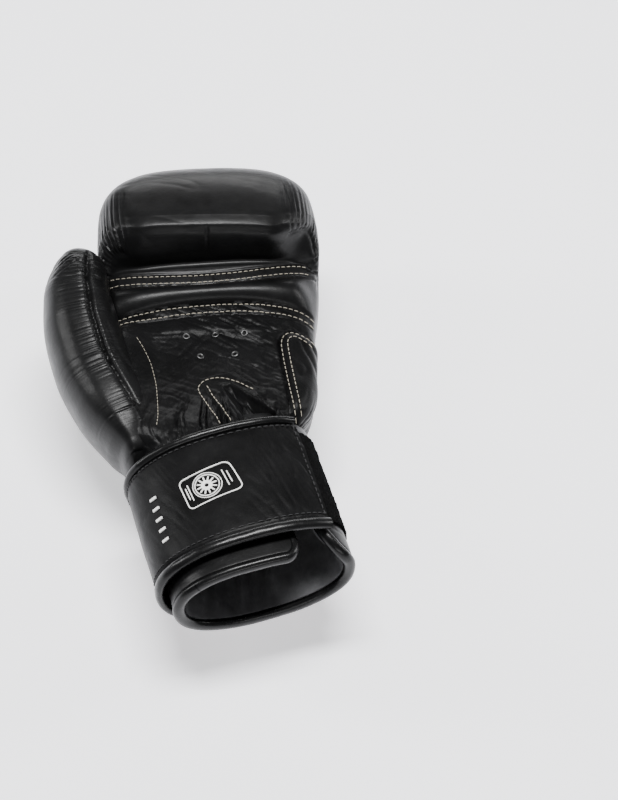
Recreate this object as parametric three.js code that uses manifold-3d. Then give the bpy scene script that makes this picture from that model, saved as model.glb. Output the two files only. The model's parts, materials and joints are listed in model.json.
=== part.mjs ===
// A left-hand boxing glove with a wide wrap-round wrist strap, lying on its padded back with the palm up.
// Millimetres. +X is the little-finger side, +Y points from the cuff's mouth to the fist,
// and +Z comes out of the palm.
// The origin is the middle of the flat that the padded back rests on.
import * as THREE from "three";
import { mergeVertices } from "three/addons/utils/BufferGeometryUtils.js";
import Module from "manifold-3d";

const wasm = await Module();
wasm.setup();

// ---- Driving dimensions ----
const GAP = 0.3; // clearance left between touching pieces
const THUMB_GAP = 1.1; // the thumb swings clear of the mitt across this
const SLIVER = 0.03; // edges left by a cut that are shorter than this are merged
const LEATHER = 1.8;
const LINING = 1.2;
const CENTRE_Z = 65.5; // height of the cuff's centre line over the surface that the glove rests on
const WRIST_Y = -88; // the wrist crease, where the cuff hangs on the mitt
const CUFF_YAW = 10; // degrees that the cuff's axis leans from the mitt's, seen from the palm
const YAW_FADES_AT = -30; // the lean of the mitt's wrist end is gone here
const FRONT_START = 52; // the rounded front of the fist begins here
const FIST_Y = 112; // front of the knuckles
const FRONT_CENTRE_Z = 59;
const FRONT_POWER = 2.7; // squareness of the rounded front
const RING_SEGMENTS = 24;
const CORE_SEGMENTS = 16;

// The palm window: where the palm-side panels show between the sides of the padded shell.
const WINDOW = { left: -52, right: 55, front: 38.5, floor: 62 };
const GRIP_BAR = { from: 4, to: 28 };
const WEB_EDGE = -38; // thumb web panel's sewn edge
const PINKY_PAD = { edge: 40, front: -12, rise: 3.5 };
const SEAM_SHIFT = 7; // the thumb's seam runs this far to the palm side of its centre line
const SLIT = { left: 8, right: 27, front: -58, facing: 8 };
const BADGE = { x: -14, y: 27, halfWidth: 44, halfHeight: 24, thickness: 0.8 };
const EYELETS = [
  [-13, -13],
  [4, -13],
  [21, -13],
  [-6, -28],
  [14, -28],
];

// The cuff's outline is a squared oval; its wall and the strap are bands at a stated distance outside it.
const CUFF = { halfWidth: 51, halfHeight: 30, power: 2.3 };
const CUFF_LENGTH = { mouth: -91, top: -4 }; // along the cuff's own axis, from the wrist crease
// Degrees round the oval: 0 is the little finger's side, 90 the palm, 180 the thumb's side, 270 the back.
const WALL = { from: 135, to: 406 };
const TONGUE = { from: 68, to: 134.4, dip: 10 };
const STRAP = { root: 45, turn: 160, peel: 200, end: 332 };
const STRAP_EDGE = { lower: -77, upper: -9.5 };
const STRAP_LAYER = { inner: 3, middle: 3.9, outer: 5.6 };

const LEATHER_BLACK = { color: 0x131313, roughness: 0.42, metalness: 0 };
const BINDING_BLACK = { color: 0x0c0c0c, roughness: 0.25, metalness: 0 };
const FOAM_GREY = { color: 0x8a8c90, roughness: 0.95, metalness: 0 };
const LINING_BLACK = { color: 0x1c1c1e, roughness: 0.85, metalness: 0 };
const HOOK_LOOP_BLACK = { color: 0x0a0a0a, roughness: 0.98, metalness: 0 };
const BADGE_WHITE = { color: 0xe9e7e2, roughness: 0.45, metalness: 0 };
const LABEL_WHITE = { color: 0xd9d2c8, roughness: 0.9, metalness: 0 };
const EYELET_METAL = { color: 0x55565a, roughness: 0.35, metalness: 0.9 };

// ---- Solids ----

// A closed three.js geometry as a solid.
function solid(geometry) {
  const plain = geometry.index ? geometry.toNonIndexed() : geometry.clone();
  const bare = new THREE.BufferGeometry();
  bare.setAttribute("position", plain.getAttribute("position"));
  const merged = mergeVertices(bare, 1e-4);
  const mesh = new wasm.Mesh({
    numProp: 3,
    vertProperties: new Float32Array(merged.attributes.position.array),
    triVerts: new Uint32Array(merged.index.array),
  });
  return new wasm.Manifold(mesh);
}

// A solid as a three.js geometry, without the slivers and crumbs that cuts can leave.
function geometryOf(shape) {
  const bodies = shape.simplify(SLIVER).decompose();
  const largest = bodies.reduce((a, b) => (b.volume() > a.volume() ? b : a));
  const mesh = largest.getMesh();
  const geometry = new THREE.BufferGeometry();
  geometry.setAttribute("position", new THREE.BufferAttribute(mesh.vertProperties, 3));
  geometry.setIndex(new THREE.BufferAttribute(mesh.triVerts, 1));
  geometry.computeVertexNormals();
  return geometry;
}

// A closed skin over rings of equally many points, with a flat fan over the first and the last ring.
function loft(rings) {
  const count = rings[0].length;
  const points = rings.flat();
  const faces = [];
  for (let i = 0; i + 1 < rings.length; i++)
    for (let k = 0; k < count; k++) {
      const a = i * count + k;
      const b = i * count + ((k + 1) % count);
      faces.push(a, b, b + count, a, b + count, a + count);
    }
  const fan = (ring, start, reversed) => {
    const centre = new THREE.Vector3();
    ring.forEach((p) => centre.addScaledVector(p, 1 / count));
    const c = points.push(centre) - 1;
    for (let k = 0; k < count; k++) {
      const a = start + k;
      const b = start + ((k + 1) % count);
      faces.push(...(reversed ? [a, c, b] : [a, b, c]));
    }
  };
  fan(rings[0], 0, true);
  fan(rings[rings.length - 1], (rings.length - 1) * count, false);
  const geometry = new THREE.BufferGeometry().setFromPoints(points);
  geometry.setIndex(faces);
  return geometry;
}

// A point on a squared oval of the given half sizes, at an angle in radians.
function ovalPoint(angle, right, left, top, bottom, power, topPower = power) {
  const c = Math.cos(angle);
  const s = Math.sin(angle);
  const n = s >= 0 ? topPower : power;
  const x = Math.sign(c) * Math.abs(c) ** (2 / n) * (c >= 0 ? right : left);
  const z = Math.sign(s) * Math.abs(s) ** (2 / n) * (s >= 0 ? top : bottom);
  return [x, z];
}

function box(x0, x1, y0, y1, z0, z1) {
  const geometry = new THREE.BoxGeometry(x1 - x0, y1 - y0, z1 - z0);
  return solid(geometry.translate((x0 + x1) / 2, (y0 + y1) / 2, (z0 + z1) / 2));
}

const radians = THREE.MathUtils.degToRad;
const FAR = 400;

// ---- The mitt: rings from the neck inside the cuff to the front of the fist ----

// y, half width on the thumb side and on the little-finger side, bottom, widest level, top,
// squareness below and above
const MITT_STATIONS = [
  [-98, 36.5, 42, 44.8, 62, 79.5, 2.3, 2.3],
  [-85, 36.5, 42, 44.8, 62, 79.5, 2.3, 2.3],
  [-81, 46, 47, 34, 63, 85, 2.3, 2.6],
  [-74, 51, 53, 22, 62, 86.5, 2.4, 3],
  [-60, 55, 58, 9, 60, 84.5, 2.4, 3.4],
  [-35, 59, 61, -1.5, 58, 83.5, 2.5, 3.6],
  [-5, 62, 64, -2.5, 58, 83, 2.6, 3.6],
  [4, 63, 65, -2.5, 58, 86, 2.6, 3.4],
  [10, 63, 66, -2.5, 58, 96, 2.6, 3.2],
  [16, 63, 67, -2.5, 58, 99.5, 2.6, 3],
  [22, 63.5, 67.5, -2, 58, 97, 2.6, 3],
  [28, 64, 68, -1.5, 58, 90.5, 2.6, 3.2],
  [36, 64.5, 69, -0.5, 58, 91, 2.6, 3.2],
  [43, 65, 70, 1, 58.5, 110, 2.6, 3.1],
  [FRONT_START, 65, 71, 2.5, FRONT_CENTRE_Z, 116.5, 2.6, 3.1],
];
const FRONT_ANGLES = [24, 42, 58, 71, 81, 87];

// The lean of the wrist end, as the shift in y for each millimetre of x.
function lean(y) {
  const share = THREE.MathUtils.clamp((YAW_FADES_AT - y) / (YAW_FADES_AT - WRIST_Y), 0, 1);
  return Math.tan(radians(CUFF_YAW)) * share;
}

function mittRing(y, station, inset, scale, segments) {
  const [, left, right, bottom, level, top, power, topPower] = station;
  const ring = [];
  for (let k = 0; k < segments; k++) {
    const angle = -(2 * Math.PI * k) / segments;
    const [x, z] = ovalPoint(
      angle,
      right - inset,
      left - inset,
      top - level - inset,
      level - bottom - inset,
      power,
      topPower,
    );
    const height = Math.max(level + z * scale, Math.max(inset, 0));
    ring.push(new THREE.Vector3(x * scale, y + x * lean(y), height));
  }
  return ring;
}

// The mitt's whole form, every face moved in by inset. A form that cuts another runs on past the neck.
function mitt(inset, segments = RING_SEGMENTS) {
  const rings = MITT_STATIONS.map((s, i) =>
    mittRing(i === 0 && inset > 0 ? s[0] - 4 : s[0], s, inset, 1, segments),
  );
  const last = MITT_STATIONS[MITT_STATIONS.length - 1];
  for (const degrees of FRONT_ANGLES) {
    const along = Math.sin(radians(degrees)) ** (2 / FRONT_POWER);
    const scale = Math.cos(radians(degrees)) ** (2 / FRONT_POWER);
    const y = FRONT_START + (FIST_Y - FRONT_START - inset) * along;
    rings.push(mittRing(y, last, inset, scale, segments));
  }
  return solid(loft(rings));
}

// y, half width, bottom, top of the pocket that the hand goes into
const HAND_STATIONS = [
  [-112, 31, 49.5, 75],
  [-85, 31, 49.5, 75],
  [-60, 44, 44, 79.5],
  [-20, 49, 39, 78.5],
  [16, 50, 37, 80],
  [44, 49, 37, 85],
  [66, 44, 41, 86],
  [80, 33, 48, 80],
];

function handPocket(grow, endsAt = 0) {
  const rings = HAND_STATIONS.map(([y, half, bottom, top], i) => {
    const ring = [];
    const level = (bottom + top) / 2;
    const at = i === 0 ? y - endsAt : i === HAND_STATIONS.length - 1 ? y + grow : y;
    for (let k = 0; k < CORE_SEGMENTS; k++) {
      const angle = -(2 * Math.PI * k) / CORE_SEGMENTS;
      const tall = (top - bottom) / 2 + grow;
      const [x, z] = ovalPoint(angle, half + grow, half + grow, tall, tall, 2.8);
      ring.push(new THREE.Vector3(x, at + x * lean(at), level + z));
    }
    return ring;
  });
  return solid(loft(rings));
}

// ---- The thumb: a bent tube beside the mitt ----

// x, y, z of its centre line, half width, half height
const THUMB_STATIONS = [
  [-47, -95.5, 64, 5, 8],
  [-49, -90, 64, 12.5, 19],
  [-53, -76, 66, 19.5, 25],
  [-61.5, -50, 69, 22.5, 27.5],
  [-69.5, -22, 73, 22.5, 28],
  [-73.5, 2, 78, 22, 27.5],
  [-73.5, 18, 83, 19.5, 25],
  [-71.5, 31, 87.5, 15.5, 20],
  [-70, 38, 90, 10.5, 13.5],
  [-69, 42, 91.5, 4.5, 5.5],
];

function thumb(inset, segments = 20) {
  const centres = THUMB_STATIONS.map(([x, y, z]) => new THREE.Vector3(x, y, z));
  const up = new THREE.Vector3(0, 0, 1);
  const kept = THUMB_STATIONS.map((s, i) => i).filter((i) => THUMB_STATIONS[i][3] > inset + 1);
  const rings = kept.map((i) => {
    const before = centres[Math.max(i - 1, 0)];
    const after = centres[Math.min(i + 1, centres.length - 1)];
    const along = after.clone().sub(before).normalize();
    const across = along.clone().cross(up).normalize();
    const rise = across.clone().cross(along);
    const [, , , halfWidth, halfHeight] = THUMB_STATIONS[i];
    const ring = [];
    for (let k = 0; k < segments; k++) {
      const angle = -(2 * Math.PI * k) / segments;
      const [a, b] = ovalPoint(
        angle,
        halfWidth - inset,
        halfWidth - inset,
        halfHeight - inset,
        halfHeight - inset,
        2.2,
      );
      ring.push(centres[i].clone().addScaledVector(across, a).addScaledVector(rise, b));
    }
    return ring;
  });
  return solid(loft(rings));
}

// ---- The cuff and strap: bands round the oval, in the cuff's own frame ----

// A point at an angle in degrees, a distance outside the cuff's outline.
function cuffPoint(degrees, outside, y) {
  const [x, z] = ovalPoint(
    radians(degrees),
    CUFF.halfWidth + outside,
    CUFF.halfWidth + outside,
    CUFF.halfHeight + outside,
    CUFF.halfHeight + outside,
    CUFF.power,
  );
  return new THREE.Vector3(x, y, z);
}

const angleSteps = (from, to, step) => {
  const count = Math.max(1, Math.round((to - from) / step));
  return Array.from({ length: count + 1 }, (_, i) => from + ((to - from) * i) / count);
};

// How far the tongue dips inside the cuff's outline at an angle.
const tongueDip = (degrees) => {
  const share = (TONGUE.to - degrees) / (TONGUE.to - TONGUE.from);
  return degrees >= TONGUE.to ? 0 : -TONGUE.dip * share * share * (3 - 2 * share);
};

// A flat band from one angle to another, between two distances outside the oval.
function band(from, to, inner, outer, lower, upper, dip = () => 0) {
  return loft(
    angleSteps(from, to, 8).map((a) => [
      cuffPoint(a, inner + dip(a), lower),
      cuffPoint(a, outer + dip(a), lower),
      cuffPoint(a, outer + dip(a), upper),
      cuffPoint(a, inner + dip(a), upper),
    ]),
  );
}

// A rounded binding that follows the oval at one height.
function binding(from, to, outside, y, halfThick, halfTall, dip = () => 0) {
  const sides = 6;
  return loft(
    angleSteps(from, to, 8).map((a) =>
      Array.from({ length: sides }, (_, k) => {
        const angle = (2 * Math.PI * k) / sides;
        const out = outside + halfThick * Math.cos(angle) + dip(a);
        return cuffPoint(a, out, y + halfTall * Math.sin(angle));
      }),
    ),
  );
}

// ---- The scene graph ----
const glove = new THREE.Group();
const cuff = new THREE.Group();
cuff.position.set(0, WRIST_Y, CENTRE_Z);
cuff.rotation.z = radians(CUFF_YAW);
glove.add(cuff);

function add(group, name, geometry, look) {
  const mesh = new THREE.Mesh(geometry, new THREE.MeshStandardMaterial(look));
  mesh.name = name;
  group.add(mesh);
}
const addSolid = (name, shape, look) => add(glove, name, geometryOf(shape), look);

// A half space behind the wrist's slanted edge, moved along y by shift.
function behindWrist(shift) {
  const block = new THREE.BoxGeometry(FAR, FAR, FAR);
  block.translate(0, -FAR / 2 + shift, 0);
  block.rotateZ(radians(CUFF_YAW));
  return solid(block.translate(0, -83, CENTRE_Z));
}

// A straight oval prism through the back, for the badge and its seat.
function badgePrism(grow) {
  const outline = new THREE.Shape();
  outline.absellipse(BADGE.x, BADGE.y, BADGE.halfWidth + grow, BADGE.halfHeight + grow, 0, 2 * Math.PI);
  const prism = new THREE.ExtrudeGeometry(outline, {
    depth: 45,
    bevelEnabled: false,
    curveSegments: 14,
  });
  return solid(prism.translate(0, 0, -5));
}

function makeMitt() {
  const outer = mitt(0);
  const behindLeather = mitt(LEATHER);
  const shell = outer.subtract(behindLeather);
  const thumbPassage = thumb(8, 12);
  const pocket = handPocket(0, 2);

  addSolid("wrist_gusset", shell.intersect(behindWrist(-GAP)), LEATHER_BLACK);
  const skin = shell.subtract(behindWrist(0));

  // The back shell is one piece of leather from the wrist over the knuckles to the finger pillow.
  const { left, right, front, floor } = WINDOW;
  const openPalm = box(left - GAP, right + GAP, -FAR, front + GAP, floor, FAR);
  const badgeSeat = badgePrism(GAP).subtract(mitt(BADGE.thickness + GAP));
  const backShell = skin.subtract(openPalm).subtract(badgeSeat).subtract(thumbPassage);
  addSolid("back_shell", backShell, LEATHER_BLACK);
  const badge = badgePrism(0).intersect(outer).subtract(mitt(BADGE.thickness));
  addSolid("oval_badge", badge, BADGE_WHITE);

  // Panels of the palm side, each cut from the same skin.
  const panel = (x0, x1, y0, y1) => skin.intersect(box(x0, x1, y0, y1, floor, FAR));
  const { from, to } = GRIP_BAR;
  addSolid("finger_panel", panel(left, right, to + GAP, front), LEATHER_BLACK);
  addSolid("grip_bar_cover", panel(left, right, from + GAP, to), LEATHER_BLACK);
  addSolid("thumb_web_panel", panel(left, WEB_EDGE, -FAR, from).subtract(thumbPassage), LEATHER_BLACK);
  const slot = box(SLIT.left, SLIT.right, -FAR, SLIT.front, floor, FAR);
  let palm = panel(WEB_EDGE + GAP, PINKY_PAD.edge - GAP, -FAR, from);
  palm = palm.subtract(slot);
  for (const [x, y] of EYELETS) {
    const hole = new THREE.CylinderGeometry(1.8, 1.8, 40, 10).rotateX(Math.PI / 2);
    palm = palm.subtract(solid(hole.translate(x, y, CENTRE_Z + 15)));
  }
  addSolid("palm_panel", palm, LEATHER_BLACK);
  const padBlock = box(PINKY_PAD.edge, right, -FAR, PINKY_PAD.front, floor, FAR);
  const pad = mitt(-PINKY_PAD.rise).intersect(padBlock);
  const padSkin = pad.subtract(behindLeather).subtract(behindWrist(0));
  addSolid("pinky_pad", padSkin, LEATHER_BLACK);
  const padFront = box(PINKY_PAD.edge, right, PINKY_PAD.front + GAP, from, floor, FAR);
  addSolid("pinky_corner_panel", skin.intersect(padFront), LEATHER_BLACK);

  // The slit: a sewn facing round it, and a dark stretch gusset behind it.
  const { facing } = SLIT;
  const frame = box(SLIT.left - facing, SLIT.right + facing, -FAR, SLIT.front + facing, floor, FAR);
  const facingSkin = mitt(-1.3).subtract(mitt(-GAP)).intersect(frame).subtract(slot);
  addSolid("slit_facing", facingSkin.subtract(behindWrist(0)), LEATHER_BLACK);
  const gussetBlock = box(SLIT.left - 2, SLIT.right + 2, -FAR, SLIT.front + 2, floor, FAR);
  const gusset = mitt(LEATHER + GAP).subtract(mitt(LEATHER + 1)).intersect(gussetBlock);
  addSolid("slit_gusset", gusset.subtract(behindWrist(0)).subtract(handPocket(LINING + GAP)), LINING_BLACK);

  // Padding: an outer and an inner layer over the back and knuckles, and a block over the fingers.
  const padding = mitt(LEATHER + GAP).subtract(behindWrist(0)).subtract(thumbPassage);
  const pillow = (grow) => box(-FAR, FAR, front + 1 - grow, FAR, FRONT_CENTRE_Z - grow, FAR);
  const cleared = padding.subtract(openPalm).subtract(handPocket(LINING + GAP, 4));
  const backPadding = cleared.subtract(pillow(GAP));
  addSolid("knuckle_foam_outer", backPadding.subtract(mitt(18, CORE_SEGMENTS)), FOAM_GREY);
  addSolid("knuckle_foam_inner", backPadding.intersect(mitt(19.5, CORE_SEGMENTS)), FOAM_GREY);
  addSolid("finger_foam", cleared.intersect(pillow(0)), FOAM_GREY);
  const barBlock = box(left + 2, right - 2, from + 1, to - 1, floor, FAR);
  const core = mitt(LEATHER + GAP).intersect(barBlock).subtract(mitt(11, CORE_SEGMENTS));
  addSolid("grip_bar_core", core.subtract(handPocket(LINING + GAP)), FOAM_GREY);
  const lining = handPocket(LINING).subtract(pocket).subtract(thumb(9, 12));
  addSolid("hand_lining", lining.subtract(behindWrist(-15)), LINING_BLACK);
}

function makeEyelets() {
  const profile = [
    [0.9, -2.2],
    [1.5, -2.2],
    [1.5, 0],
    [2.4, 0],
    [2.4, 0.4],
    [1.8, 0.8],
    [0.9, 0.4],
    [0.9, -2.2],
  ].map(([r, z]) => new THREE.Vector2(r, z));
  EYELETS.forEach(([x, y], i) => {
    const ring = new THREE.LatheGeometry(profile, 12).rotateX(Math.PI / 2);
    add(glove, `eyelet_${i + 1}`, ring.translate(x, y, 83.6), EYELET_METAL);
  });
}

function makeThumb() {
  const clearOfMitt = (shape) => shape.subtract(mitt(-THUMB_GAP));
  // The seam runs along the top of the thumb: the inner panel faces the palm.
  const inner = seamSide(0);
  const skin = clearOfMitt(thumb(0).subtract(thumb(1.5)));
  addSolid("thumb_shell", skin.subtract(seamSide(GAP)), LEATHER_BLACK);
  addSolid("thumb_inner_panel", skin.intersect(inner), LEATHER_BLACK);
  addSolid("thumb_foam", clearOfMitt(thumb(1.5 + GAP).subtract(thumb(10, 12))), FOAM_GREY);
  addSolid("thumb_lining", clearOfMitt(thumb(10.4, 12).subtract(thumb(11.6, 12))), LINING_BLACK);
}

// The side of the thumb's seam that faces the palm, as a bent wall along its centre line.
function seamSide(shift) {
  const outline = new THREE.Shape();
  const edge = THUMB_STATIONS.map(([x, y]) => new THREE.Vector2(x + SEAM_SHIFT - shift, y));
  outline.moveTo(FAR, -FAR);
  outline.lineTo(FAR, FAR);
  outline.lineTo(edge[edge.length - 1].x, FAR);
  [...edge].reverse().forEach((p) => outline.lineTo(p.x, p.y));
  outline.lineTo(edge[0].x, -FAR);
  outline.closePath();
  const wall = new THREE.ExtrudeGeometry(outline, { depth: FAR, bevelEnabled: false });
  return solid(wall.translate(0, 0, -FAR / 2));
}

function makeCuff() {
  const { mouth, top } = CUFF_LENGTH;
  const { from, to } = WALL;
  add(cuff, "cuff_leather", band(from, to, -1.6, 0, mouth, top), LEATHER_BLACK);
  add(cuff, "cuff_foam", band(from, to, -5.2, -1.9, mouth, top), FOAM_GREY);
  add(cuff, "cuff_lining", band(from, to, -6.6, -5.5, mouth, top), LINING_BLACK);
  const rimY = mouth - 2.5;
  add(cuff, "cuff_mouth_binding", binding(from, to, -3.3, rimY, 4.4, 2.1), BINDING_BLACK);
  add(cuff, "tongue_leather", band(TONGUE.from, TONGUE.to, -2, 0, mouth, top - 6, tongueDip), LEATHER_BLACK);
  const tongueCloth = band(TONGUE.from, TONGUE.to, -4.4, -2.3, mouth, top - 6, tongueDip);
  add(cuff, "tongue_lining", tongueCloth, LINING_BLACK);
  const tongueRim = binding(TONGUE.from, TONGUE.to, -2.2, rimY, 3.2, 2.1, tongueDip);
  add(cuff, "tongue_mouth_binding", tongueRim, BINDING_BLACK);
  const tongueEnd = band(TONGUE.from - 4, TONGUE.from - 0.5, -5, 0.6, mouth - 4, top - 6, () => -TONGUE.dip);
  add(cuff, "tongue_end_binding", tongueEnd, BINDING_BLACK);
  add(cuff, "loop_patch", band(STRAP.peel + 6, 395.5, GAP, 1.4, -74, -11.5), HOOK_LOOP_BLACK);
  const root = band(396, 402, GAP, STRAP_LAYER.outer, STRAP_EDGE.lower, STRAP_EDGE.upper);
  add(cuff, "strap_root", root, LEATHER_BLACK);
}

// One link of the strap: lining, leather and the bindings of its two long edges.
function makeStrapLink(name, from, to) {
  const { lower, upper } = STRAP_EDGE;
  const { inner, middle, outer } = STRAP_LAYER;
  add(cuff, `${name}_lining`, band(from, to, inner, middle, lower, upper), LINING_BLACK);
  add(cuff, `${name}_leather`, band(from, to, middle + GAP, outer, lower, upper), LEATHER_BLACK);
  const upperEdge = binding(from, to, 4.3, upper + 2.7, 2, 2.3);
  add(cuff, `${name}_upper_binding`, upperEdge, BINDING_BLACK);
  const lowerEdge = binding(from, to, 4.3, lower - 2.7, 2, 2.3);
  add(cuff, `${name}_lower_binding`, lowerEdge, BINDING_BLACK);
}

function makeStrap() {
  const { root, turn, peel, end } = STRAP;
  const halfJoint = 0.4;
  makeStrapLink("strap_palm", root - 2, turn - halfJoint);
  makeStrapLink("strap_side", turn + halfJoint, peel - halfJoint);
  makeStrapLink("strap_back", peel + halfJoint, end);
  const { lower, upper } = STRAP_EDGE;
  const endBar = band(end + 0.4, end + 3.9, 2.4, 6.3, lower - 5, upper + 5);
  add(cuff, "strap_end_binding", endBar, BINDING_BLACK);
  add(cuff, "hook_patch", band(peel + 10, end - 3, 1.7, 2.7, -71, -14.5), HOOK_LOOP_BLACK);
  add(cuff, "wrist_label", band(218, 322, STRAP_LAYER.outer + GAP, 6.7, -74, -11.5), LABEL_WHITE);
}

makeMitt();
makeEyelets();
makeThumb();
makeCuff();
makeStrap();

export default glove;
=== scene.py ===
"""A black leather left-hand boxing glove, palm up, on a pale floor. Shapes are worked out in millimetres."""

import functools
import itertools
import json
import math

import bpy
import numpy as np
from mathutils import Euler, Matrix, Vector
from mathutils.bvhtree import BVHTree


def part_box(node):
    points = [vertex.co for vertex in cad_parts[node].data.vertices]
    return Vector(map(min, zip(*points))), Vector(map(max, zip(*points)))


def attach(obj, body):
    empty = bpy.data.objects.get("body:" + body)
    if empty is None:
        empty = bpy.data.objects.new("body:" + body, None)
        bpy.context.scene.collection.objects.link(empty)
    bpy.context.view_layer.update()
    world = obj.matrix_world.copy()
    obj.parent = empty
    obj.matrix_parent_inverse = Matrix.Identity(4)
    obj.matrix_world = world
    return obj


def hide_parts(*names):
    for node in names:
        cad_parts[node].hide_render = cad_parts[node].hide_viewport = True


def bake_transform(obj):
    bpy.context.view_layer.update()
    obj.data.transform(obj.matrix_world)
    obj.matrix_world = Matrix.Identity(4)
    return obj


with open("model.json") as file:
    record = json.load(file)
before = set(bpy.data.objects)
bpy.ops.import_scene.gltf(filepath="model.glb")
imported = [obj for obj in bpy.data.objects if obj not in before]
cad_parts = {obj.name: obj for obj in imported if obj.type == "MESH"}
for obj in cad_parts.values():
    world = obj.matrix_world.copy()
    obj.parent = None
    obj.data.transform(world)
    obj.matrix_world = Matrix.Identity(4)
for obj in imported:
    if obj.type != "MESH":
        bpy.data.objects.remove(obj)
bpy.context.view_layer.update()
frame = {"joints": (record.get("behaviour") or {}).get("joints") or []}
MM = 0.001
SHARP_ANGLE = math.radians(62)  # an edge that turns more than this is shaded as a crisp one


# ---- Measures from the frame ----
def node_box(node):
    """A CAD node's lowest and highest corners, in millimetres."""
    low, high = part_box(node)
    return np.array(low) / MM, np.array(high) / MM


FIST_Y = node_box("back_shell")[1][1]
CREASE_Y = node_box("finger_panel")[1][1] - 0.5
BAR_LOW, BAR_HIGH = node_box("grip_bar_cover")
PAD_LOW, PAD_HIGH = node_box("pinky_pad")
JOINTS = {j["name"]: j for j in frame["joints"]}
WRIST = np.array(JOINTS["wrist_flex"]["pos_m"]) / MM
CUFF_AXIS = np.array(JOINTS["strap_peel"]["axis"])
YAW = math.atan2(-CUFF_AXIS[0], CUFF_AXIS[1])

# The cuff is a squared oval. A place on it has three numbers: an angle round it in degrees, a distance
# outside the oval, and a place along its axis from the wrist, both in millimetres.
CUFF_HALF_WIDTH, CUFF_HALF_HEIGHT, CUFF_POWER = 51.0, 30.0, 2.3
CUFF_MOUTH, CUFF_TOP = -91.0, -4.0
CUFF_ROLL = math.radians(4.5)  # the soft cuff lies with its little-finger side a little higher
WALL_FROM, WALL_TO = 135.0, 405.0
WALL_TURN, WALL_RISE = 32.0, 26.0  # the rounded end beside the little finger: its angle and height
TONGUE_FROM, TONGUE_TO, TONGUE_DIP = 68.0, 138.0, 2.2
TONGUE_TOP = -19.0  # short of the mitt's neck, which comes nearer as the wrist bends
TONGUE_TURN, TONGUE_RISE = 8.0, 8.0  # the tongue's rounded corner
SLEEVE_MITT, SLEEVE_CUFF = 8.0, -27.0
SLEEVE_INSIDE, SLEEVE_FLARE, SLEEVE_THICK = -7.2, 4.6, 1.2
ROLL_SIDES = 20  # round the bound edges
ROLL_THICK, ROLL_TALL = 3.5, 2.9  # half the mouth's roll, across the wall and along it
ROLL_MIDDLE = -3.0  # its centre line, from the wall's outer face
RIM_Y = CUFF_MOUTH - 1.8

STRAP_LOWER, STRAP_UPPER = -77.0, -9.5
STRAP_INNER, STRAP_CORE, STRAP_OUTER = 3.0, 4.5, 5.6
STRAP_FACE = STRAP_OUTER + 0.35  # where the stitches and the stamp sit
ROOT_ANGLE, PEEL_ANGLE, END_ANGLE = 46.0, 200.0, 332.0
ROOT_BEND = ROOT_ANGLE, ROOT_ANGLE + 11  # the strap bends on its root between these angles


# ---- Numbers ----
def smoothstep(low, high, value):
    """0 before low and 1 after high, with a smooth rise between. low may be above high."""
    t = np.clip((value - low) / (high - low), 0, 1)
    return t * t * (3 - 2 * t)


def span(value, start, full, fade, end):
    """1 from full to fade, with a smooth fall to 0 at start and at end."""
    return smoothstep(start, full, value) * smoothstep(end, fade, value)


def bell(distance, width):
    """1 at no distance, falling smoothly towards 0 a few widths away."""
    return np.exp(-((distance / width) ** 2))


def unit(vectors):
    return vectors / np.linalg.norm(vectors, axis=-1, keepdims=True)


def rotated(x, y, angle):
    c, s = math.cos(angle), math.sin(angle)
    return x * c - y * s, x * s + y * c


def around(count):
    """Equally spaced angles, once round."""
    return np.linspace(0, 2 * np.pi, count, endpoint=False)


def through(x, xs, ys):
    """A smooth curve through the points (xs, ys) that never overshoots them."""
    xs, ys = np.asarray(xs, float), np.asarray(ys, float)
    step, rise = np.diff(xs), np.diff(ys) / np.diff(xs)
    slope = np.zeros_like(ys)
    same = rise[:-1] * rise[1:] > 0
    total = np.where(same, rise[:-1] + rise[1:], 1)
    slope[1:-1] = np.where(same, 2 * rise[:-1] * rise[1:] / total, 0)
    slope[0], slope[-1] = rise[0], rise[-1]
    i = np.clip(np.searchsorted(xs, x) - 1, 0, len(step) - 1)
    t = (np.clip(x, xs[0], xs[-1]) - xs[i]) / step[i]
    a = ys[i] * (1 + 2 * t) * (1 - t) ** 2 + slope[i] * step[i] * t * (1 - t) ** 2
    b = ys[i + 1] * t * t * (3 - 2 * t) + slope[i + 1] * step[i] * t * t * (t - 1)
    return a + b


def stations_at(where, stations):
    """A table's columns after its first, read at places in the first, one column of results for each."""
    keys = stations[:, 0]
    return [through(where, keys, column)[:, None] for column in stations[:, 1:].T]


def lattice(ix, iy, iz, seed):
    """A repeatable number from -1 to 1 for each whole-number place."""
    n = (ix * 374761393 + iy * 668265263 + iz * 1442695041 + seed * 97531) & 0xFFFFFFFF
    n = ((n ^ (n >> 13)) * 1274126177) & 0xFFFFFFFF
    return ((n ^ (n >> 16)) & 0xFFFFFF) / 0x7FFFFF - 1


def noise(points, scale, seed):
    """Smooth noise from -1 to 1 at points in millimetres. scale is one number or one for each axis."""
    q = points / np.asarray(scale, float)
    cell = np.floor(q).astype(np.int64)
    f = q - cell
    f = f * f * (3 - 2 * f)
    total = np.zeros(points.shape[:-1])
    for corner in itertools.product((0, 1), repeat=3):
        weight = np.ones(points.shape[:-1])
        for axis, side in enumerate(corner):
            weight *= f[..., axis] if side else 1 - f[..., axis]
        ix, iy, iz = (cell[..., k] + corner[k] for k in range(3))
        total += weight * lattice(ix, iy, iz, seed)
    return total


def turned(points, degrees):
    """Points turned about Z, for noise that runs in a slanted direction."""
    x, y = rotated(points[..., 0], points[..., 1], math.radians(degrees))
    return np.stack([x, y, points[..., 2]], -1)


def creases(points, degrees, long, wide, seed):
    """Sharp fold lines that run in one direction: 0 between them, down to -1 in their bottoms."""
    q = turned(points, degrees)
    bent = q + 0.35 * wide * noise(q, long * 0.5, seed + 7)[..., None] * np.array([0, 1, 0])
    ridge = np.abs(noise(bent, (long, wide, long), seed))
    return -((1 - np.clip(ridge * 2.2, 0, 1)) ** 2)


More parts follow.
